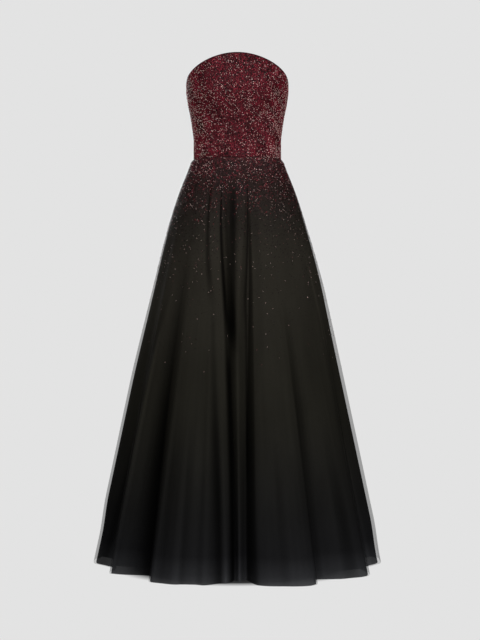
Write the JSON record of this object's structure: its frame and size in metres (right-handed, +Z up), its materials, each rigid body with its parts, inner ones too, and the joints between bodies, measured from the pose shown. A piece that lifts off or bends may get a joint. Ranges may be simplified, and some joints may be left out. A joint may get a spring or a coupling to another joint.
{
  "type": "ball gown",
  "caption": "Strapless floor-length ball gown with a beaded bodice and a full black skirt of sheer tulle over an opaque underskirt, filled out with no wearer.",
  "frame": {"origin": "middle of the waist seam, on the gown's axis, where the wearer's waist holds it", "axes": "+Z up along the gown, -Y out of the front, +X to the right of someone who looks at the front"},
  "size_m": [0.7971, 0.7735, 1.385],
  "materials": {
    "beaded_cloth": "all-over small beads in black, burgundy and silver on black net",
    "opaque_satin": "matt satin",
    "sheer_tulle": "fine soft net, sheer",
    "zip_tape": "woven tape",
    "zip_metal": "satin black enamel"
  },
  "bodies": {
    "gown": {"bodice_front": "beaded_cloth", "bodice_back_right": "beaded_cloth", "bodice_back_left": "beaded_cloth", "underskirt_front": "opaque_satin", "underskirt_back_right": "opaque_satin", "underskirt_back_left": "opaque_satin", "tulle_inner_front": "sheer_tulle", "tulle_inner_back_right": "sheer_tulle", "tulle_inner_back_left": "sheer_tulle", "tulle_outer_front": "sheer_tulle", "tulle_outer_back_right": "sheer_tulle", "tulle_outer_back_left": "sheer_tulle", "zip_tape": "zip_tape", "zip_slider": "zip_metal"},
    "pull": {"zip_pull": "zip_metal"}
  },
  "joints": [
    {"name": "zip_pull_hinge", "type": "hinge", "parent": "gown", "child": "pull", "pos_m": [0, 0.0956, 0.16342], "axis": [1, 0, 0], "range_deg": [0, 165]}
  ]
}
